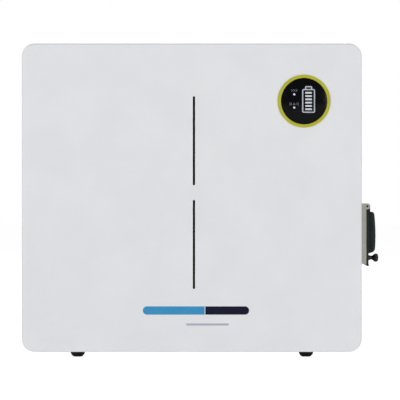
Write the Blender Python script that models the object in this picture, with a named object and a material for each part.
"""Wall battery unit: a steel cabinet of lithium iron phosphate cells with a side service window.

Units are metres. X runs to the right, Y from the front panel towards the wall, Z up.
The origin is the middle of the flat face with which the rear hanger lip meets the wall.
Every sub-part is one closed solid, and neighbours that touch keep FIT_GAP between them.
"""

import math

import bmesh
import bpy
from mathutils import Matrix, Vector

# Cabinet
CASE_WIDTH = 0.595
CASE_HEIGHT = 0.540
CASE_CORNER = 0.0225
CASE_MIDDLE_Z = -0.160
CASE_BACK_Y = -0.014
CASE_DEPTH = 0.170
CASE_FRONT_Y = CASE_BACK_Y - CASE_DEPTH
EDGE_RADIUS = 0.003
SHEET = 0.0015
COVER_DEPTH = 0.030
FLANGE_WIDTH = 0.012
GASKET_WIDTH = 0.008
GASKET_THICKNESS = 0.0059
SEAM_GAP = 0.0005
FIT_GAP = 0.0003
WALL_X = CASE_WIDTH / 2
CASE_BOTTOM_Z = CASE_MIDDLE_Z - CASE_HEIGHT / 2

# Feet
FOOT_PLACES = {"front": (0.2013, -0.1385), "rear": (0.2038, -0.034)}
FOOT_HEIGHT = 0.010
FOOT_TOP_RADIUS = 0.0130
FOOT_TREAD_RADIUS = 0.0068
FOOT_BOWL = ((0.0125, 0.0065), (0.0117, 0.0047), (0.0107, 0.0030), (0.0090, 0.0014))
FOOT_RECESS = (0.0045, 0.004)

# Wall brackets
BRACKET_SHEET = 0.0025
HANGER_LENGTH = 0.440
HANGER_LIP_HALF = 0.030
HANGER_FLANGE_TOP = 0.085
STANDOFF_LENGTH = 0.240
STANDOFF_MIDDLE_Z = -0.340
STANDOFF_FACE_HALF = 0.018
STANDOFF_FLANGE = 0.020
STANDOFF_HOLES = (-0.09, 0.09)
STANDOFF_HOLE_RADIUS = 0.0045

# Round charge display on the front
DISPLAY_X = 0.1964
DISPLAY_Z = 0.009
RING_RADIUS = 0.04625
RING_INNER_RADIUS = 0.0406
RING_PROUD = 0.0017
DISPLAY_HOLE_RADIUS = 0.0420
LENS_RADIUS = 0.04025
LENS_PROUD = 0.0012
LENS_THICKNESS = 0.003
BOARD_THICKNESS = 0.0016
LIGHT_RADIUS = 0.0019
LIGHT_X = -0.0173
LIGHT_HEIGHTS = {"run_light": 0.0119, "alarm_light": -0.0112}
BATTERY_SIGN_X = DISPLAY_X + 0.0079
BATTERY_SIGN = (0.0232, 0.0422)
BATTERY_LINE = 0.0022
CHARGE_BARS = 6
CHARGE_BAR = (0.0122, 0.0032)
CHARGE_BAR_PITCH = 0.00576
BOARD_RADIUS = 0.0415
BOARD_STANDOFF = 0.009
CUP_RADIUS = 0.0442
CUP_SHEET = 0.0020
CUP_DEPTH = 0.024

# Dark accent slots on the front
SLOT_X = 0.0037
SLOT_WIDTH = 0.0040
SLOT_LENGTH = 0.1556
SLOT_MIDDLES = {"upper_slot_insert": -0.0603, "lower_slot_insert": -0.2418}
SLOT_RECESS = 0.0008

# Service window on the right wall
WINDOW_Y = -0.099
WINDOW_Z = -0.2205
WINDOW_HOLE = (0.084, 0.070)
FRAME_WIDTH = 0.102
FRAME_HALF = FRAME_WIDTH / 2
FRAME_TOP_Z = -0.1778
FRAME_BOTTOM_Z = {"wall": -0.2757, "face": -0.2784}
FRAME_FACE_X = WALL_X + 0.0098
FRAME_CHAMFER = 0.0012
FRAME_OPENING = (0.082, -0.2535, -0.1875, 0.003)
SEAL_GROOVE_OUTER = (0.092, -0.2572, -0.1822, 0.004)
SEAL_GROOVE_INNER = (0.088, -0.2552, -0.1842, 0.003)
SEAL_GROOVE_DEPTH = 0.002
HINGE_X = WALL_X + 0.0116
HINGE_Z = -0.1753
LUG_RADIUS = 0.0053
LUG_WIDTH = 0.0088
LUG_SETBACK = 0.001
EAR_LOW_Z = -0.1790
EAR_FACETS = 14
EAR_STEP = 0.0002
KNUCKLE_RADIUS = 0.0047
KNUCKLE_GAP = 0.0005
PIN_RADIUS = 0.0016
PIN_SETBACK = 0.002
PIN_HOLE_RADIUS = 0.0019
COVER_BACK_X = WALL_X + 0.0104
COVER_RIM = 0.0033
COVER_FRONT_X = COVER_BACK_X + COVER_RIM
COVER_SKIN = 0.0022
COVER_WIDTH = 0.098
COVER_TOP_Z = -0.1815
COVER_LIP_Z = -0.2807
COVER_NECK_X = WALL_X + 0.0170
LIP_FLARE = 0.0009
LIP_HEIGHT = 0.006
HOOD_WIDTH = 0.089
HOOD_TOP_Z = -0.1845
HOOD_BOTTOM_Z = -0.2590
HOOD_UNDERCUT = 0.32
HOOD_CREST_X = WALL_X + 0.0265
HOOD_CREST_Z = -0.2270
HOOD_BULGE = 1.39
HOOD_CORNER = 0.0043
HOOD_CORNER_STEPS = 4
HOOD_RUNGS = 5
CAVITY = (0.084, -0.2520, -0.1880)
SCREW_Z = -0.2664
SCREW_RADIUS = 0.0025
SCREW_TIP_X = WALL_X + 0.0010
SCREW_HOLE_RADIUS = 0.0033
COVER_SCREW_HOLE_RADIUS = 0.0031
RETAINER_POCKET_RADIUS = 0.0052
RETAINER_POCKET_X = WALL_X + 0.0042
RETAINER_SETBACK = 0.0046
RETAINER_RADIUS = 0.0042
RETAINER_THICKNESS = 0.001
KNOB_PROFILE = (
    (0.0046, 0.0), (0.0046, 0.0030), (0.0034, 0.0058), (0.0034, 0.0075), (0.0040, 0.0093), (0.0058, 0.0111),
    (0.0069, 0.0129), (0.0074, 0.0147), (0.0072, 0.0165), (0.0062, 0.0182), (0.0040, 0.0193), (0.0, 0.0196),
)
KNOB_GRIP = (0.0110, 0.0183)
KNOB_GROOVES = 8
KNOB_GROOVE_DEPTH = 0.09

# Behind the window
PANEL_FLOOR_X = 0.2867
BREAKER_Y = -0.1185
BREAKER_WIDTH = 0.036
BREAKER_HEIGHT = 0.080
BREAKER_BACK_X = 0.2290
BREAKER_SHOULDER_X = 0.2780
BREAKER_NOSE_X = 0.3000
BREAKER_NOSE_HEIGHT = 0.045
TOGGLE_X = 0.2925
TOGGLE_THROW = math.radians(80)
TOGGLE_HALF = 0.014
TOGGLE_DRUM_RADIUS = 0.0065
TOGGLE_LENGTH = 0.0165
RAIL_HALF = 0.0175
RAIL_WEB_HALF = 0.0125
RAIL_DEPTH = 0.0075
RAIL_SHEET = 0.001
RAIL_LENGTH = 0.090
PORTS_Y = -0.084
PORTS_WIDTH = 0.016
PORTS_HEIGHT = 0.060
PORT_PITCH = 0.0145
PORT_COUNT = 4
PORT_DEPTH = 0.013
BUTTON_Y = -0.0665
BUTTON_Z = -0.2000
BUTTON_RADIUS = 0.0050
BUTTON_PROUD = 0.0040

# Power terminals in their bay under the window
BAY_Y = -0.098
BAY_Z = -0.347
BAY_HOLE = (0.072, 0.090)
BAY_FLOOR_X = 0.2558
TERMINAL_HEIGHTS = {"positive_terminal": -0.327, "negative_terminal": -0.367}
TERMINAL_STUD_RADIUS = 0.0040
TERMINAL_BUSHING_RADIUS = 0.0058
EARTH_X = 0.235
EARTH_Z = -0.395
EARTH_RADIUS = 0.0030
EARTH_TIP_Y = -0.0030

# Battery management
BOARD_X = 0.150
BOARD_Z = -0.025
BOARD_FRONT_Y = -0.056
BOARD_SIZE = (0.150, 0.190)
HEAT_SINK_SIZE = (0.140, 0.170)
HEAT_SINK_BASE = 0.005
FIN_LENGTH = 0.009
FIN_THICKNESS = 0.002
FIN_COUNT = 12
FUSE_X = 0.125
FUSE_Y = -0.060
FUSE_Z = -0.245
FUSE_BARREL_RADIUS = 0.012

# Cells: two columns, terminals towards the front
CELL_SIZE = (0.160, 0.118, 0.050)
CELL_COLUMNS = (-0.203, -0.037)
CELL_ROWS = 8
CELL_PITCH_Z = 0.0515
CELL_FRONT_Y = -0.140
CELL_POST_X = 0.062
CELL_POST_RADIUS = 0.0080
CELL_POST_HEIGHT = 0.0025
END_PLATE = 0.008
STRAP_WIDTH = 0.040
STRAP_FOLD = 0.025
CABLE_RADIUS = 0.0045

COLORS = {
    "case_white": ((0.72, 0.725, 0.74), 0.45, 0.0),
    "black_rubber": ((0.012, 0.012, 0.013), 0.80, 0.0),
    "zinc_steel": ((0.55, 0.56, 0.58), 0.40, 0.9),
    "olive_ring": ((0.48, 0.46, 0.02), 0.40, 0.0),
    "dark_lens": ((0.011, 0.012, 0.020), 0.12, 0.0),
    "light_guide": ((0.65, 0.68, 0.72), 0.35, 0.0),
    "green_board": ((0.015, 0.12, 0.05), 0.45, 0.0),
    "black_plastic": ((0.010, 0.011, 0.012), 0.50, 0.0),
    "beige_plastic": ((0.33, 0.34, 0.30), 0.50, 0.0),
    "smoked_cover": ((0.022, 0.031, 0.031), 0.22, 0.0),
    "breaker_grey": ((0.62, 0.63, 0.64), 0.45, 0.0),
    "red_plastic": ((0.45, 0.015, 0.012), 0.40, 0.0),
    "aluminium": ((0.70, 0.71, 0.73), 0.35, 0.9),
    "cell_blue": ((0.02, 0.10, 0.33), 0.40, 0.0),
    "cable_orange": ((0.75, 0.18, 0.01), 0.50, 0.0),
}


# ---------------------------------------------------------------- shape helpers

def on_axis(axis, along, across, up):
    """A point from its distance along an axis and its two other coordinates, in X, Y, Z order."""
    if axis == "X":
        return Vector((along, across, up))
    if axis == "Y":
        return Vector((across, along, up))
    return Vector((across, up, along))


def rounded_outline(width, height, radius, middle=(0.0, 0.0), steps=6):
    """A rectangle with round corners, as (u, v) pairs."""
    radius = min(max(radius, 0.0004), width / 2, height / 2)
    points = []
    for corner, (side_u, side_v) in enumerate(((1, 1), (-1, 1), (-1, -1), (1, -1))):
        centre_u = middle[0] + side_u * (width / 2 - radius)
        centre_v = middle[1] + side_v * (height / 2 - radius)
        for step in range(steps + 1):
            angle = math.pi / 2 * (corner + step / steps)
            points.append((centre_u + radius * math.cos(angle), centre_v + radius * math.sin(angle)))
    return points


def loft(rings, closed=False, ladder_start=None):
    """A skin through rings of equally many points: capped at its ends, or closed on itself.

    With a ladder start, the last cap is laid in strips between the ring's two mirrored sides,
    counted from that point, so that the cap can bulge.
    """
    bm = bmesh.new()
    loops = [[bm.verts.new(point) for point in ring] for ring in rings]
    count = len(loops[0])
    pairs = list(zip(loops, loops[1:]))
    if closed:
        pairs.append((loops[-1], loops[0]))
    else:
        bm.faces.new(loops[0])
        if ladder_start is None:
            bm.faces.new(list(reversed(loops[-1])))
        else:
            for rung in range(count // 2 - 1):
                corners = (ladder_start - rung, ladder_start + 1 + rung,
                           ladder_start + 2 + rung, ladder_start - rung - 1)
                bm.faces.new([loops[-1][corner % count] for corner in corners])
    for near, far in pairs:
        for i in range(count):
            j = (i + 1) % count
            bm.faces.new((near[j], near[i], far[i], far[j]))
    bmesh.ops.remove_doubles(bm, verts=bm.verts, dist=1e-6)
    bmesh.ops.recalc_face_normals(bm, faces=bm.faces)
    return bm


def stack(axis, levels, closed=False):
    """A loft whose rings are flat outlines, each a pair of (place along the axis, outline)."""
    return loft([[on_axis(axis, along, u, v) for u, v in outline] for along, outline in levels], closed)


def block(low, high):
    """A plain box between two corners."""
    bm = bmesh.new()
    size = Vector(high) - Vector(low)
    middle = (Vector(high) + Vector(low)) / 2
    bmesh.ops.create_cube(bm, size=1.0, matrix=Matrix.Translation(middle) @ Matrix.Diagonal(size.to_4d()))
    return bm


def prism(axis, low, high, outline):
    """An outline pushed along an axis."""
    return stack(axis, [(low, outline), (high, outline)])


def turned(axis, middle, profile, steps=32, closed=False):
    """A profile of (radius, place along the axis) pairs turned about an axis through middle."""
    bm = bmesh.new()
    rings = []
    for radius, along in profile:
        if radius == 0:
            rings.append([bm.verts.new(on_axis(axis, along, *middle))])
            continue
        ring = []
        for step in range(steps):
            angle = 2 * math.pi * step / steps
            u = middle[0] + radius * math.cos(angle)
            v = middle[1] + radius * math.sin(angle)
            ring.append(bm.verts.new(on_axis(axis, along, u, v)))
        rings.append(ring)
    pairs = list(zip(rings, rings[1:]))
    if closed:
        pairs.append((rings[-1], rings[0]))
    for near, far in pairs:
        for i in range(steps):
            j = (i + 1) % steps
            corners = [near[i % len(near)], near[j % len(near)], far[j % len(far)], far[i % len(far)]]
            bm.faces.new(list(dict.fromkeys(corners)))
    bmesh.ops.recalc_face_normals(bm, faces=bm.faces)
    return bm


def rod(axis, middle, radius, low, high, steps=24):
    """A plain cylinder along an axis."""
    return turned(axis, middle, [(0, low), (radius, low), (radius, high), (0, high)], steps)


def material(name):
    """The named material, made on first use."""
    if name in bpy.data.materials:
        return bpy.data.materials[name]
    color, roughness, metallic = COLORS[name]
    made = bpy.data.materials.new(name)
    made.use_nodes = True
    shader = made.node_tree.nodes["Principled BSDF"]
    shader.inputs["Base Color"].default_value = (*color, 1.0)
    shader.inputs["Roughness"].default_value = roughness
    shader.inputs["Metallic"].default_value = metallic
    made.diffuse_color = (*color, 1.0)
    return made


def as_object(name, bm, origin=(0.0, 0.0, 0.0)):
    """Turn a bmesh in world coordinates into a linked object with the given origin."""
    bmesh.ops.translate(bm, verts=bm.verts, vec=-Vector(origin))
    mesh = bpy.data.meshes.new(name)
    bm.to_mesh(mesh)
    bm.free()
    obj = bpy.data.objects.new(name, mesh)
    obj.location = origin
    bpy.context.scene.collection.objects.link(obj)
    return obj


def combine(obj, shape, operation, solver="EXACT"):
    """Join a shape to an object, or cut it away, and keep the result as the object's mesh."""
    tool = as_object("tool", shape)
    boolean = obj.modifiers.new("combine", "BOOLEAN")
    boolean.operation = operation
    boolean.solver = solver
    boolean.object = tool
    depsgraph = bpy.context.evaluated_depsgraph_get()
    result = bpy.data.meshes.new_from_object(obj.evaluated_get(depsgraph))
    obj.modifiers.remove(boolean)
    bpy.data.objects.remove(tool)
    obj.data = result


def part(name, color, bm, origin=(0.0, 0.0, 0.0), add=(), cut=(), solver="EXACT"):
    """A finished sub-part: its base shape, the shapes joined to it and the shapes cut from it."""
    obj = as_object(name, bm, origin)
    for shape in add:
        combine(obj, shape, "UNION", solver)
    for shape in cut:
        combine(obj, shape, "DIFFERENCE", solver)
    obj.data.materials.clear()
    obj.data.materials.append(material(color))
    obj.data.shade_smooth()
    obj.data.set_sharp_from_angle(angle=math.radians(35))
    return obj


def case_outline(inset):
    """The cabinet's rounded front outline, pulled in on every side."""
    return rounded_outline(CASE_WIDTH - 2 * inset, CASE_HEIGHT - 2 * inset, CASE_CORNER - inset,
                           (0.0, CASE_MIDDLE_Z))


def rolled_edge(face_y, inward, steps=3):
    """Levels of the cabinet's rolled outer edge, from the flat face to the side wall."""
    levels = []
    for step in range(steps + 1):
        angle = math.pi / 2 * step / steps
        inset = EDGE_RADIUS * (1 - math.sin(angle))
        along = face_y + inward * EDGE_RADIUS * (1 - math.cos(angle))
        levels.append((along, case_outline(inset)))
    return levels


# ---------------------------------------------------------------- cabinet

def make_rear_housing():
    """Deep steel tub with a stepped neck and an inward flange that carries the gasket."""
    seam_y = CASE_FRONT_Y + COVER_DEPTH + SEAM_GAP
    neck = SHEET + FIT_GAP
    flange_y = CASE_FRONT_Y + SHEET + GASKET_THICKNESS + 2 * FIT_GAP
    levels = rolled_edge(CASE_BACK_Y, -1)
    levels += [
        (seam_y, case_outline(0)),
        (seam_y, case_outline(neck)),
        (flange_y, case_outline(neck)),
        (flange_y, case_outline(neck + FLANGE_WIDTH)),
        (flange_y + SHEET, case_outline(neck + FLANGE_WIDTH)),
        (flange_y + SHEET, case_outline(neck + SHEET)),
        (seam_y + SHEET, case_outline(neck + SHEET)),
        (seam_y + SHEET, case_outline(SHEET)),
        (CASE_BACK_Y - SHEET, case_outline(SHEET)),
    ]
    wall = (WALL_X - 0.01, WALL_X + 0.01)
    window = rounded_outline(*WINDOW_HOLE, 0.004, (WINDOW_Y, WINDOW_Z), 3)
    bay = rounded_outline(*BAY_HOLE, 0.004, (BAY_Y, BAY_Z), 3)
    part("rear_housing", "case_white", stack("Y", levels), cut=[
        prism("X", *wall, window),
        prism("X", *wall, bay),
        rod("Y", (EARTH_X, EARTH_Z), EARTH_RADIUS + SEAM_GAP, CASE_BACK_Y - 0.01, CASE_BACK_Y + 0.01, 16),
    ])


def make_front_cover():
    """Shallow steel tray with the round display hole and the two accent slots."""
    rim_y = CASE_FRONT_Y + COVER_DEPTH
    levels = rolled_edge(CASE_FRONT_Y, 1)
    levels += [
        (rim_y, case_outline(0)),
        (rim_y, case_outline(SHEET)),
        (CASE_FRONT_Y + SHEET, case_outline(SHEET)),
    ]
    through = (CASE_FRONT_Y - 0.01, CASE_FRONT_Y + 0.01)
    cuts = [rod("Y", (DISPLAY_X, DISPLAY_Z), DISPLAY_HOLE_RADIUS, *through, 48)]
    for middle_z in SLOT_MIDDLES.values():
        outline = rounded_outline(SLOT_WIDTH, SLOT_LENGTH, 0.0012, (SLOT_X, middle_z), 3)
        cuts.append(prism("Y", *through, outline))
    part("front_cover", "case_white", stack("Y", levels), cut=cuts)


def make_cover_gasket():
    """Foam ring squeezed between the housing flange and the cover."""
    low = CASE_FRONT_Y + SHEET + FIT_GAP
    outer = case_outline(0.004)
    inner = case_outline(0.004 + GASKET_WIDTH)
    high = low + GASKET_THICKNESS
    levels = [(low, outer), (high, outer), (high, inner), (low, inner)]
    part("cover_gasket", "black_rubber", stack("Y", levels, closed=True))


def make_feet():
    """Four bowl-shaped rubber feet with a screw recess underneath."""
    top = CASE_BOTTOM_Z - FIT_GAP
    floor = CASE_BOTTOM_Z - FOOT_HEIGHT
    recess_radius, recess_depth = FOOT_RECESS
    profile = [(0, top), (FOOT_TOP_RADIUS - 0.0006, top), (FOOT_TOP_RADIUS, top - 0.0008)]
    profile += [(radius, floor + height) for radius, height in FOOT_BOWL]
    profile += [(FOOT_TREAD_RADIUS, floor), (recess_radius, floor),
                (recess_radius, floor + recess_depth), (0, floor + recess_depth)]
    for depth, (x, y) in FOOT_PLACES.items():
        for side, sign in (("left", -1), ("right", 1)):
            part(f"foot_{depth}_{side}", "black_rubber", turned("Z", (sign * x, y), profile, 20))


def make_hanger_bracket():
    """Offset rail on the back: its flange is screwed to the housing, its lip hooks over a wall rail."""
    near = CASE_BACK_Y + FIT_GAP
    web = HANGER_LIP_HALF - BRACKET_SHEET
    outline = [
        (near, HANGER_FLANGE_TOP), (near, web), (-BRACKET_SHEET, web), (-BRACKET_SHEET, -HANGER_LIP_HALF),
        (0.0, -HANGER_LIP_HALF), (0.0, HANGER_LIP_HALF), (near + BRACKET_SHEET, HANGER_LIP_HALF),
        (near + BRACKET_SHEET, HANGER_FLANGE_TOP),
    ]
    part("hanger_bracket", "zinc_steel", prism("X", -HANGER_LENGTH / 2, HANGER_LENGTH / 2, outline))


def make_standoff_bracket():
    """Hat section low on the back that keeps the cabinet upright against the wall."""
    near = CASE_BACK_Y + FIT_GAP
    middle, face, foot = STANDOFF_MIDDLE_Z, STANDOFF_FACE_HALF, STANDOFF_FACE_HALF + STANDOFF_FLANGE
    outline = [
        (near, middle + foot), (near, middle + face - BRACKET_SHEET),
        (-BRACKET_SHEET, middle + face - BRACKET_SHEET), (-BRACKET_SHEET, middle - face + BRACKET_SHEET),
        (near, middle - face + BRACKET_SHEET), (near, middle - foot),
        (near + BRACKET_SHEET, middle - foot), (near + BRACKET_SHEET, middle - face),
        (0.0, middle - face), (0.0, middle + face),
        (near + BRACKET_SHEET, middle + face), (near + BRACKET_SHEET, middle + foot),
    ]
    holes = [rod("Y", (x, middle), STANDOFF_HOLE_RADIUS, -0.005, 0.005, 16) for x in STANDOFF_HOLES]
    body = prism("X", -STANDOFF_LENGTH / 2, STANDOFF_LENGTH / 2, outline)
    part("standoff_bracket", "zinc_steel", body, cut=holes)


# ---------------------------------------------------------------- charge display

def make_display():
    """Ring, lens, light guide, two status lights, board and cup of the round display."""
    middle = (DISPLAY_X, DISPLAY_Z)
    face = CASE_FRONT_Y
    seat = face - FIT_GAP
    sleeve_end = face + 0.0060
    crown = face - RING_PROUD
    part("display_ring", "olive_ring", turned("Y", middle, [
        (RING_RADIUS, seat), (RING_RADIUS, crown + 0.0006), (RING_RADIUS - 0.0006, crown),
        (RING_INNER_RADIUS + 0.0004, crown), (RING_INNER_RADIUS, crown + 0.0004),
        (RING_INNER_RADIUS, sleeve_end), (RING_INNER_RADIUS + 0.0011, sleeve_end),
        (RING_INNER_RADIUS + 0.0011, seat),
    ], 48, closed=True))

    lens_front = face - LENS_PROUD
    lens_back = lens_front + LENS_THICKNESS
    lights = {name: (DISPLAY_X + LIGHT_X, DISPLAY_Z + height) for name, height in LIGHT_HEIGHTS.items()}
    part("display_lens", "dark_lens", turned("Y", middle, [
        (0, lens_back), (LENS_RADIUS, lens_back), (LENS_RADIUS, lens_front + 0.0005),
        (LENS_RADIUS - 0.0005, lens_front), (0, lens_front),
    ], 48), cut=[rod("Y", place, LIGHT_RADIUS + FIT_GAP, face - 0.01, face + 0.01, 16)
                 for place in lights.values()])

    board_front = lens_back + BOARD_STANDOFF
    guide_back = board_front - FIT_GAP
    for name, place in lights.items():
        part(name, "light_guide", rod("Y", place, LIGHT_RADIUS, lens_front - 0.0002, guide_back, 16))

    guide_plate = guide_back - 0.0022
    guide_root = guide_plate + 0.0005
    guide_tip = lens_back + FIT_GAP
    sign = (BATTERY_SIGN_X, DISPLAY_Z)
    width, height = BATTERY_SIGN
    outer = rounded_outline(width, height, 0.0026, sign, 3)
    inner = rounded_outline(width - 2 * BATTERY_LINE, height - 2 * BATTERY_LINE, 0.0010, sign, 3)
    base = prism("Y", guide_plate, guide_back, rounded_outline(0.030, 0.050, 0.003, sign, 3))
    guide = part("charge_light_guide", "light_guide", base, add=[prism("Y", guide_tip, guide_root, outer)],
                 cut=[prism("Y", guide_tip - 0.001, guide_plate, inner)])
    half_x, half_z = CHARGE_BAR[0] / 2, CHARGE_BAR[1] / 2
    for bar in range(CHARGE_BARS):
        bar_z = DISPLAY_Z + CHARGE_BAR_PITCH * ((CHARGE_BARS - 1) / 2 - bar)
        combine(guide, block((BATTERY_SIGN_X - half_x, guide_tip, bar_z - half_z),
                             (BATTERY_SIGN_X + half_x, guide_root, bar_z + half_z)), "UNION")

    part("display_board", "green_board",
         rod("Y", middle, BOARD_RADIUS, board_front, board_front + BOARD_THICKNESS, 48))

    rim = face + SHEET + FIT_GAP
    floor = face + CUP_DEPTH
    bore = CUP_RADIUS - CUP_SHEET
    flange = CUP_RADIUS + 0.0028
    part("display_cup", "black_plastic", turned("Y", middle, [
        (0, floor), (CUP_RADIUS, floor), (CUP_RADIUS, rim + CUP_SHEET), (flange, rim + CUP_SHEET),
        (flange, rim), (bore, rim), (bore, floor - CUP_SHEET), (0, floor - CUP_SHEET),
    ], 48))


def make_slot_inserts():
    """Dark bars behind the cover that fill its two slots, set back from the front face."""
    back = CASE_FRONT_Y + SHEET + FIT_GAP
    front = CASE_FRONT_Y + SLOT_RECESS
    for name, middle_z in SLOT_MIDDLES.items():
        flange = rounded_outline(0.012, SLOT_LENGTH + 0.010, 0.002, (SLOT_X, middle_z), 3)
        bar = rounded_outline(SLOT_WIDTH - 2 * FIT_GAP, SLOT_LENGTH - 2 * FIT_GAP, 0.0009,
                              (SLOT_X, middle_z), 3)
        levels = [(back + 0.002, flange), (back, flange), (back, bar), (front, bar)]
        part(name, "black_plastic", stack("Y", levels))


# ---------------------------------------------------------------- service window

def window_outline(width, low_z, high_z, radius, steps=4):
    """A rounded outline in the plane of the right wall, centred on the window."""
    return rounded_outline(width, high_z - low_z, radius, (WINDOW_Y, (low_z + high_z) / 2), steps)


def make_window_frame():
    """Frame on the wall with two hinge ears, a seal groove and the pocket of the screw's retainer."""
    back = WALL_X + FIT_GAP
    beyond = FRAME_FACE_X + 0.01
    low = FRAME_BOTTOM_Z["face"]
    levels = [
        (back, window_outline(FRAME_WIDTH, FRAME_BOTTOM_Z["wall"], FRAME_TOP_Z, 0.004)),
        (FRAME_FACE_X - FRAME_CHAMFER, window_outline(FRAME_WIDTH, low, FRAME_TOP_Z, 0.004)),
        (FRAME_FACE_X, window_outline(FRAME_WIDTH - 2 * FRAME_CHAMFER, low + FRAME_CHAMFER,
                                      FRAME_TOP_Z - FRAME_CHAMFER / 2, 0.003)),
    ]
    hinge = (HINGE_X, HINGE_Z)
    knuckle = FRAME_HALF - LUG_WIDTH
    last = -math.pi - math.asin((EAR_LOW_Z - HINGE_Z) / LUG_RADIUS)
    ear = [(back, EAR_LOW_Z), (back, HINGE_Z + LUG_RADIUS)]
    for step in range(EAR_FACETS + 1):
        angle = math.pi / 2 + (last - math.pi / 2) * step / EAR_FACETS
        ear.append((HINGE_X + LUG_RADIUS * math.cos(angle), HINGE_Z + LUG_RADIUS * math.sin(angle)))
    lugs = []
    for side in (-1, 1):
        near, far = sorted(WINDOW_Y + side * reach for reach in (FRAME_HALF - LUG_SETBACK, knuckle - EAR_STEP))
        lugs.append(prism("Y", near, far, ear))
    screw = (WINDOW_Y, SCREW_Z)
    groove_floor = FRAME_FACE_X - SEAL_GROOVE_DEPTH
    outer, inner = window_outline(*SEAL_GROOVE_OUTER), window_outline(*SEAL_GROOVE_INNER)
    part("window_frame", "beige_plastic", stack("X", levels), solver="MANIFOLD", add=lugs, cut=[
        rod("Y", hinge, PIN_HOLE_RADIUS, WINDOW_Y - FRAME_WIDTH, WINDOW_Y + FRAME_WIDTH, 16),
        rod("Y", hinge, LUG_RADIUS + 0.0001, WINDOW_Y - knuckle, WINDOW_Y + knuckle),
        stack("X", [(groove_floor, outer), (beyond, outer), (beyond, inner), (groove_floor, inner)],
              closed=True),
        prism("X", back - 0.01, beyond, window_outline(*FRAME_OPENING)),
        rod("X", screw, SCREW_HOLE_RADIUS, back - 0.01, beyond, 20),
        rod("X", screw, RETAINER_POCKET_RADIUS, RETAINER_POCKET_X, beyond, 20),
    ])


def make_lid_seal():
    """Rubber ring in the frame's groove, pressed by the closed cover."""
    width, low, high, radius = SEAL_GROOVE_OUTER
    outer = window_outline(width - 2 * FIT_GAP, low + FIT_GAP, high - FIT_GAP, radius)
    width, low, high, radius = SEAL_GROOVE_INNER
    inner = window_outline(width + 2 * FIT_GAP, low - FIT_GAP, high + FIT_GAP, radius)
    back = FRAME_FACE_X - SEAL_GROOVE_DEPTH + FIT_GAP
    front = COVER_BACK_X - FIT_GAP
    levels = [(back, outer), (front, outer), (front, inner), (back, inner)]
    part("lid_seal", "black_rubber", stack("X", levels, closed=True))


def make_hinge_pin():
    """Steel pin through the frame's lugs and the cover's knuckle, sunk a little at both ends."""
    half = FRAME_HALF - PIN_SETBACK
    part("hinge_pin", "zinc_steel",
         rod("Y", (HINGE_X, HINGE_Z), PIN_RADIUS, WINDOW_Y - half, WINDOW_Y + half, 16))


def laddered_outline(width, low, high, radius):
    """A window outline whose two upright sides carry extra points, for a face that bulges."""
    outline = window_outline(width, low, high, radius, HOOD_CORNER_STEPS)
    half = len(outline) // 2
    left, right = outline[half - 1][0], outline[0][0]
    upper, lower = outline[0][1], outline[half][1]
    heights = [upper + (lower - upper) * rung / (HOOD_RUNGS + 1) for rung in range(1, HOOD_RUNGS + 1)]
    return (outline[:half] + [(left, z) for z in heights] + outline[half:]
            + [(right, z) for z in reversed(heights)])


def bulged_ring(depth, width, low, high, radius):
    """A ring at a depth below the hood's bulging outer face."""
    return [Vector((HOOD_CREST_X - depth - HOOD_BULGE * (z - HOOD_CREST_Z) ** 2, y, z))
            for y, z in laddered_outline(width, low, high, radius)]


def hood_ring(depth, inset):
    """One ring of the hood's outside; its underside rises outwards."""
    low = HOOD_BOTTOM_Z + HOOD_UNDERCUT * (HOOD_CREST_X - depth - COVER_FRONT_X) + inset
    return bulged_ring(depth, HOOD_WIDTH - 2 * inset, low, HOOD_TOP_Z - inset, 0.005)


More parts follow.
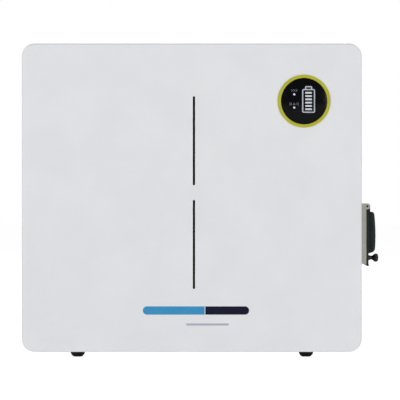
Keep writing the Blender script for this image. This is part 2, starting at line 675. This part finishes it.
def make_flip_cover():
    """Hooded cover that swings up on the pin, with a flat rim, a flared finger lip and the screw hole."""
    back, front = COVER_BACK_X, COVER_FRONT_X
    rim = [
        (back, window_outline(COVER_WIDTH, COVER_LIP_Z + 0.0022, COVER_TOP_Z, 0.004)),
        (back + 0.0016, window_outline(COVER_WIDTH, COVER_LIP_Z, COVER_TOP_Z, 0.004)),
        (front, window_outline(COVER_WIDTH - 0.0010, COVER_LIP_Z + 0.0004, COVER_TOP_Z - 0.0005, 0.004)),
    ]
    lip_top, lip_low, lip_half = COVER_LIP_Z + LIP_HEIGHT, COVER_LIP_Z + 0.0006, COVER_WIDTH / 2 - 0.004
    lip = prism("Y", WINDOW_Y - lip_half, WINDOW_Y + lip_half, [
        (front - 0.001, lip_top), (front - 0.001, lip_low), (front + LIP_FLARE, lip_low),
        (front + LIP_FLARE, lip_low + 0.0012), (front, lip_top),
    ])

    root = laddered_outline(HOOD_WIDTH, HOOD_BOTTOM_Z, HOOD_TOP_Z, 0.005)
    hood_rings = [[Vector((front - 0.001, y, z)) for y, z in root]]
    for step in range(5):
        angle = math.pi / 2 * step / 4
        hood_rings.append(hood_ring(HOOD_CORNER * (1 - math.sin(angle)), HOOD_CORNER * (1 - math.cos(angle))))

    knuckle_half = FRAME_HALF - LUG_WIDTH - KNUCKLE_GAP
    knuckle = rod("Y", (HINGE_X, HINGE_Z), KNUCKLE_RADIUS, WINDOW_Y - knuckle_half, WINDOW_Y + knuckle_half)
    neck = block((back, WINDOW_Y - knuckle_half, HOOD_TOP_Z - 0.002),
                 (COVER_NECK_X, WINDOW_Y + knuckle_half, HINGE_Z - 0.0015))

    width, low, high = CAVITY
    mouth = laddered_outline(width, low, high, 0.004)
    cavity_rings = [[Vector((back - 0.005, y, z)) for y, z in mouth]]
    for depth, shrink in ((COVER_SKIN + 0.003, 0.0005), (COVER_SKIN, 0.0030)):
        cavity_rings.append(bulged_ring(depth, width - 2 * shrink, low + shrink, high - shrink, 0.004))

    cover = part("flip_cover", "smoked_cover", stack("X", rim), origin=(HINGE_X, WINDOW_Y, HINGE_Z),
                 add=[lip, loft(hood_rings, ladder_start=HOOD_CORNER_STEPS), neck, knuckle])
    for shape in (
        loft(cavity_rings, ladder_start=HOOD_CORNER_STEPS),
        rod("Y", (HINGE_X, HINGE_Z), PIN_HOLE_RADIUS, WINDOW_Y - FRAME_WIDTH, WINDOW_Y + FRAME_WIDTH, 16),
        rod("X", (WINDOW_Y, SCREW_Z), COVER_SCREW_HOLE_RADIUS, back - 0.01, back + 0.01, 20),
    ):
        combine(cover, shape, "DIFFERENCE")


def make_thumb_screw():
    """Captive screw: shank, collar, waist and a flared ribbed knob, with its retaining ring."""
    collar = COVER_FRONT_X + FIT_GAP
    steps = 32
    profile = [
        (0, SCREW_TIP_X), (SCREW_RADIUS - 0.0005, SCREW_TIP_X), (SCREW_RADIUS, SCREW_TIP_X + 0.0006),
        (SCREW_RADIUS, collar),
    ]
    profile += [(radius, collar + along) for radius, along in KNOB_PROFILE]
    bm = turned("X", (WINDOW_Y, SCREW_Z), profile, steps)
    for vert in bm.verts:
        arm = Vector((0.0, vert.co.y - WINDOW_Y, vert.co.z - SCREW_Z))
        ridge = round(math.atan2(arm.z, arm.y) / (2 * math.pi) * steps) % (steps // KNOB_GROOVES)
        if KNOB_GRIP[0] < vert.co.x - collar < KNOB_GRIP[1] and ridge == 0:
            vert.co -= arm * KNOB_GROOVE_DEPTH
    middle = (HINGE_X, WINDOW_Y, SCREW_Z)
    part("thumb_screw", "black_plastic", bm, origin=middle)

    near, far = COVER_BACK_X - RETAINER_SETBACK, COVER_BACK_X - RETAINER_SETBACK - RETAINER_THICKNESS
    bore = SCREW_RADIUS + FIT_GAP
    part("screw_retainer", "zinc_steel", turned("X", (WINDOW_Y, SCREW_Z), [
        (bore, far), (RETAINER_RADIUS, far), (RETAINER_RADIUS, near), (bore, near),
    ], 20, closed=True), origin=middle)


def recessed_pan(floor_x, sheet, hole, flange, middle):
    """A pan let in behind a hole in the right wall, hung on a flange against the wall's inner side."""
    front = WALL_X - SHEET - FIT_GAP

    def ring(grow):
        return rounded_outline(hole[0] + 2 * grow, hole[1] + 2 * grow, 0.004 + max(grow, -0.003), middle, 3)

    return stack("X", [
        (floor_x - sheet, ring(sheet - 0.001)), (front - sheet, ring(sheet - 0.001)),
        (front - sheet, ring(flange)), (front, ring(flange)),
        (front, ring(-0.001)), (floor_x, ring(-0.001)),
    ])


def make_port_panel():
    """Recessed panel behind the window with openings for the breaker, the sockets and the button."""
    through = (PANEL_FLOOR_X - 0.01, PANEL_FLOOR_X + 0.004)
    nose = rounded_outline(BREAKER_WIDTH + 2 * FIT_GAP, BREAKER_NOSE_HEIGHT + 4 * FIT_GAP, 0.001,
                           (BREAKER_Y, WINDOW_Z), 2)
    sockets = rounded_outline(PORTS_WIDTH + 0.001, PORTS_HEIGHT + 0.001, 0.001, (PORTS_Y, WINDOW_Z), 2)
    pan = recessed_pan(PANEL_FLOOR_X, SHEET, WINDOW_HOLE, 0.005, (WINDOW_Y, WINDOW_Z))
    part("port_panel", "case_white", pan, cut=[
        prism("X", *through, nose),
        prism("X", *through, sockets),
        rod("X", (BUTTON_Y, BUTTON_Z), BUTTON_RADIUS + 0.0005, *through, 20),
    ])


def make_breaker():
    """Two-pole circuit breaker on its rail, with the tied toggle in the on position."""
    def ring(width, height):
        return rounded_outline(width, height, 0.001, (BREAKER_Y, WINDOW_Z), 2)

    nose_width = BREAKER_WIDTH - 2 * FIT_GAP
    body = stack("X", [
        (BREAKER_BACK_X, ring(BREAKER_WIDTH, BREAKER_HEIGHT)),
        (BREAKER_SHOULDER_X, ring(BREAKER_WIDTH, BREAKER_HEIGHT)),
        (BREAKER_SHOULDER_X, ring(nose_width, BREAKER_NOSE_HEIGHT)),
        (BREAKER_NOSE_X, ring(nose_width, BREAKER_NOSE_HEIGHT)),
    ])
    well_half = TOGGLE_HALF + 2 * FIT_GAP
    well = block((TOGGLE_X - 0.0072, BREAKER_Y - well_half, WINDOW_Z - 0.0125),
                 (BREAKER_NOSE_X + 0.01, BREAKER_Y + well_half, WINDOW_Z + 0.0125))
    part("breaker_body", "breaker_grey", body, cut=[well])

    lever = block((TOGGLE_X, BREAKER_Y - TOGGLE_HALF + 0.001, WINDOW_Z - 0.0026),
                  (TOGGLE_X + TOGGLE_LENGTH, BREAKER_Y + TOGGLE_HALF - 0.001, WINDOW_Z + 0.0026))
    bmesh.ops.rotate(lever, cent=(TOGGLE_X, BREAKER_Y, WINDOW_Z), verts=lever.verts,
                     matrix=Matrix.Rotation(-TOGGLE_THROW / 2, 3, "Y"))
    drum = rod("Y", (TOGGLE_X, WINDOW_Z), TOGGLE_DRUM_RADIUS,
               BREAKER_Y - TOGGLE_HALF, BREAKER_Y + TOGGLE_HALF)
    part("breaker_toggle", "black_plastic", drum, origin=(TOGGLE_X, BREAKER_Y, WINDOW_Z), add=[lever])

    hat = BREAKER_BACK_X - FIT_GAP
    floor = hat - RAIL_DEPTH
    inner, sheet = RAIL_WEB_HALF, RAIL_SHEET
    profile = [(hat, RAIL_HALF), (hat - sheet, RAIL_HALF), (hat - sheet, inner), (floor, inner)]
    profile += [(x, -z) for x, z in reversed(profile)]
    profile += [(hat, -inner + sheet), (floor + sheet, -inner + sheet),
                (floor + sheet, inner - sheet), (hat, inner - sheet)]
    rail = [(x, WINDOW_Z + z) for x, z in profile]
    part("din_rail", "zinc_steel", prism("Y", WINDOW_Y - RAIL_LENGTH / 2, WINDOW_Y + RAIL_LENGTH / 2, rail))


def make_data_ports():
    """One moulded row of four network sockets."""
    front = PANEL_FLOOR_X + 0.0008
    body = block((front - 0.021, PORTS_Y - PORTS_WIDTH / 2, WINDOW_Z - PORTS_HEIGHT / 2),
                 (front, PORTS_Y + PORTS_WIDTH / 2, WINDOW_Z + PORTS_HEIGHT / 2))
    holes = []
    for port in range(PORT_COUNT):
        middle = WINDOW_Z + (port - (PORT_COUNT - 1) / 2) * PORT_PITCH
        holes.append(block((front - PORT_DEPTH, PORTS_Y - 0.0050, middle - 0.0058),
                           (front + 0.005, PORTS_Y + 0.0040, middle + 0.0058)))
        holes.append(block((front - PORT_DEPTH, PORTS_Y + 0.0035, middle - 0.0021),
                           (front + 0.005, PORTS_Y + 0.0060, middle + 0.0021)))
    part("data_ports", "black_plastic", body, cut=holes)


def make_power_button():
    """Push button in the panel, held by a flange behind it."""
    back = PANEL_FLOOR_X - SHEET - FIT_GAP
    flange = BUTTON_RADIUS + 0.0015
    top = PANEL_FLOOR_X + BUTTON_PROUD
    profile = [
        (0, back - 0.0016), (flange, back - 0.0016), (flange, back), (BUTTON_RADIUS, back),
        (BUTTON_RADIUS, top - 0.0006), (BUTTON_RADIUS - 0.0006, top), (0, top - 0.0002),
    ]
    part("power_button", "black_plastic", turned("X", (BUTTON_Y, BUTTON_Z), profile, 20),
         origin=(PANEL_FLOOR_X, BUTTON_Y, BUTTON_Z))


# ---------------------------------------------------------------- power terminals

def make_terminals():
    """Recessed bay with the two power studs, and the earth stud on the back."""
    pan = recessed_pan(BAY_FLOOR_X, 0.002, BAY_HOLE, 0.006, (BAY_Y, BAY_Z))
    holes = [rod("X", (BAY_Y, z), TERMINAL_BUSHING_RADIUS + 0.0004, BAY_FLOOR_X - 0.01,
                 BAY_FLOOR_X + 0.005, 20) for z in TERMINAL_HEIGHTS.values()]
    part("terminal_tray", "black_plastic", pan, cut=holes)
    back = BAY_FLOOR_X - 0.002 - FIT_GAP
    front = BAY_FLOOR_X + FIT_GAP
    stud, tip = TERMINAL_STUD_RADIUS, front + 0.0282
    profile = [
        (0, back - 0.014), (stud, back - 0.014), (stud, back - 0.006), (0.0090, back - 0.006),
        (0.0090, back), (TERMINAL_BUSHING_RADIUS, back), (TERMINAL_BUSHING_RADIUS, front), (0.0100, front),
        (0.0100, front + 0.0060), (0.0092, front + 0.0068), (stud, front + 0.0068), (stud, tip - 0.0007),
        (stud - 0.0006, tip), (0, tip),
    ]
    for (name, z), color in zip(TERMINAL_HEIGHTS.items(), ("red_plastic", "black_plastic")):
        part(name, color, turned("X", (BAY_Y, z), profile, 20))
    inner = CASE_BACK_Y - SHEET - FIT_GAP
    part("earth_stud", "zinc_steel", turned("Y", (EARTH_X, EARTH_Z), [
        (0, inner - 0.0042), (0.0055, inner - 0.0042), (0.0055, inner), (EARTH_RADIUS, inner),
        (EARTH_RADIUS, EARTH_TIP_Y - 0.0006), (EARTH_RADIUS - 0.0004, EARTH_TIP_Y), (0, EARTH_TIP_Y),
    ], 16))


# ---------------------------------------------------------------- battery management

def make_electronics():
    """Battery management board on its heat sink, and the main fuse."""
    part("bms_board", "green_board", prism(
        "Y", BOARD_FRONT_Y, BOARD_FRONT_Y + BOARD_THICKNESS,
        rounded_outline(*BOARD_SIZE, 0.004, (BOARD_X, BOARD_Z), 3)))

    width, height = HEAT_SINK_SIZE
    base_front = BOARD_FRONT_Y + BOARD_THICKNESS + FIT_GAP
    base_back = base_front + HEAT_SINK_BASE
    fin_back = base_back + FIN_LENGTH
    pitch = (width - FIN_THICKNESS) / (FIN_COUNT - 1)
    left = BOARD_X - width / 2
    comb = [(left + width, base_front), (left, base_front)]
    for fin in range(FIN_COUNT):
        start = left + fin * pitch
        comb += [(start, fin_back), (start + FIN_THICKNESS, fin_back)]
        if fin < FIN_COUNT - 1:
            comb += [(start + FIN_THICKNESS, base_back), (start + pitch, base_back)]
    part("bms_heat_sink", "aluminium", prism("Z", BOARD_Z - height / 2, BOARD_Z + height / 2, comb))

    blade = block((FUSE_X - 0.045, FUSE_Y - 0.0015, FUSE_Z - 0.009),
                  (FUSE_X + 0.045, FUSE_Y + 0.0015, FUSE_Z + 0.009))
    barrel = rod("X", (FUSE_Y, FUSE_Z), FUSE_BARREL_RADIUS, FUSE_X - 0.023, FUSE_X + 0.023)
    part("main_fuse", "breaker_grey", blade, add=[barrel])


# ---------------------------------------------------------------- cell pack

def make_cells():
    """Sixteen prismatic cells that share one mesh, their terminal posts facing the front."""
    width, depth, height = CELL_SIZE

    def ring(inset):
        return rounded_outline(width - 2 * inset, height - 2 * inset, 0.003 - inset, steps=2)

    shell = stack("Y", [(depth, ring(0.001)), (depth - 0.001, ring(0)), (0.001, ring(0)), (0, ring(0.001))])
    posts = [rod("Y", (side * CELL_POST_X, 0.0), CELL_POST_RADIUS, -CELL_POST_HEIGHT, 0.002, 12)
             for side in (-1, 1)]
    first = part("cell_01", "cell_blue", shell, add=posts)
    top = CASE_MIDDLE_Z + CELL_PITCH_Z * (CELL_ROWS - 1) / 2
    number = 0
    for column_x in CELL_COLUMNS:
        for row in range(CELL_ROWS):
            number += 1
            cell = first
            if number > 1:
                cell = bpy.data.objects.new(f"cell_{number:02d}", first.data)
                bpy.context.scene.collection.objects.link(cell)
            cell.location = (column_x, CELL_FRONT_Y, top - row * CELL_PITCH_Z)


def make_pack_frame():
    """End plates above and below the cells, tied together by a folded strap on each side."""
    low_x = CELL_COLUMNS[0] - CELL_SIZE[0] / 2
    high_x = CELL_COLUMNS[1] + CELL_SIZE[0] / 2
    stack_half = (CELL_PITCH_Z * (CELL_ROWS - 1) + CELL_SIZE[2]) / 2 + 0.0005
    plate_outer = stack_half + END_PLATE
    for name, side in (("end_plate_upper", 1), ("end_plate_lower", -1)):
        near, far = sorted((CASE_MIDDLE_Z + side * stack_half, CASE_MIDDLE_Z + side * plate_outer))
        outline = rounded_outline(high_x - low_x, CELL_SIZE[1], 0.004,
                                  ((low_x + high_x) / 2, CELL_FRONT_Y + CELL_SIZE[1] / 2), 3)
        part(name, "aluminium", prism("Z", near, far, outline))

    inner = plate_outer + FIT_GAP
    outer = inner + SHEET
    middle_y = CELL_FRONT_Y + CELL_SIZE[1] / 2
    for name, edge, side in (("strap_left", low_x - 0.001, -1), ("strap_right", high_x + 0.001, 1)):
        far = edge + side * SHEET
        fold = edge - side * STRAP_FOLD
        profile = [(far, outer), (fold, outer), (fold, inner), (edge, inner)]
        profile += [(x, -z) for x, z in reversed(profile)]
        outline = [(x, CASE_MIDDLE_Z + z) for x, z in profile]
        part(name, "zinc_steel", prism("Y", middle_y - STRAP_WIDTH / 2, middle_y + STRAP_WIDTH / 2, outline))


def smooth_route(points, samples=6):
    """Points on a smooth curve through the given ones (Catmull-Rom)."""
    chain = [points[0], *points, points[-1]]
    route = []
    for i in range(1, len(chain) - 2):
        a, b, c, d = (Vector(p) for p in chain[i - 1:i + 3])
        for step in range(samples):
            t = step / samples
            route.append(0.5 * (2 * b + (c - a) * t + (2 * a - 5 * b + 4 * c - d) * t ** 2
                                + (3 * b - a - 3 * c + d) * t ** 3))
    route.append(Vector(points[-1]))
    return route


def make_cable(name, color, points):
    """A round cable along a smooth route, as a curve with filled ends."""
    curve = bpy.data.curves.new(name, "CURVE")
    curve.dimensions = "3D"
    curve.bevel_depth = CABLE_RADIUS
    curve.bevel_resolution = 2
    curve.use_fill_caps = True
    route = smooth_route(points)
    spline = curve.splines.new("POLY")
    spline.points.add(len(route) - 1)
    for target, place in zip(spline.points, route):
        target.co = (*place, 1.0)
    curve.materials.append(material(color))
    obj = bpy.data.objects.new(name, curve)
    bpy.context.scene.collection.objects.link(obj)


def make_cables():
    """Power leads: pack to fuse, pack to management board, fuse to breaker."""
    make_cable("pack_positive_cable", "cable_orange", [
        (0.018, -0.152, 0.020), (0.042, -0.158, 0.014), (0.060, -0.144, -0.030),
        (0.061, -0.110, -0.130), (0.060, -0.080, -0.215), (0.068, -0.0695, -0.243), (0.088, -0.0695, -0.245),
    ])
    make_cable("pack_negative_cable", "black_rubber", [
        (-0.200, -0.152, 0.020), (-0.165, -0.158, 0.032), (-0.090, -0.158, 0.060), (-0.010, -0.146, 0.074),
        (0.045, -0.110, 0.072), (0.078, -0.072, 0.058), (0.098, -0.063, 0.050),
    ])
    make_cable("output_cable", "cable_orange", [
        (0.160, -0.0695, -0.245), (0.185, -0.0705, -0.252), (0.215, -0.085, -0.272),
        (0.238, -0.110, -0.281), (0.246, -0.1185, -0.266),
    ])


def main():
    """Clear the file and make every piece of the battery."""
    for obj in list(bpy.data.objects):
        bpy.data.objects.remove(obj)
    make_rear_housing()
    make_front_cover()
    make_cover_gasket()
    make_feet()
    make_hanger_bracket()
    make_standoff_bracket()
    make_display()
    make_slot_inserts()
    make_window_frame()
    make_lid_seal()
    make_hinge_pin()
    make_flip_cover()
    make_thumb_screw()
    make_port_panel()
    make_breaker()
    make_data_ports()
    make_power_button()
    make_terminals()
    make_electronics()
    make_cells()
    make_pack_frame()
    make_cables()


main()
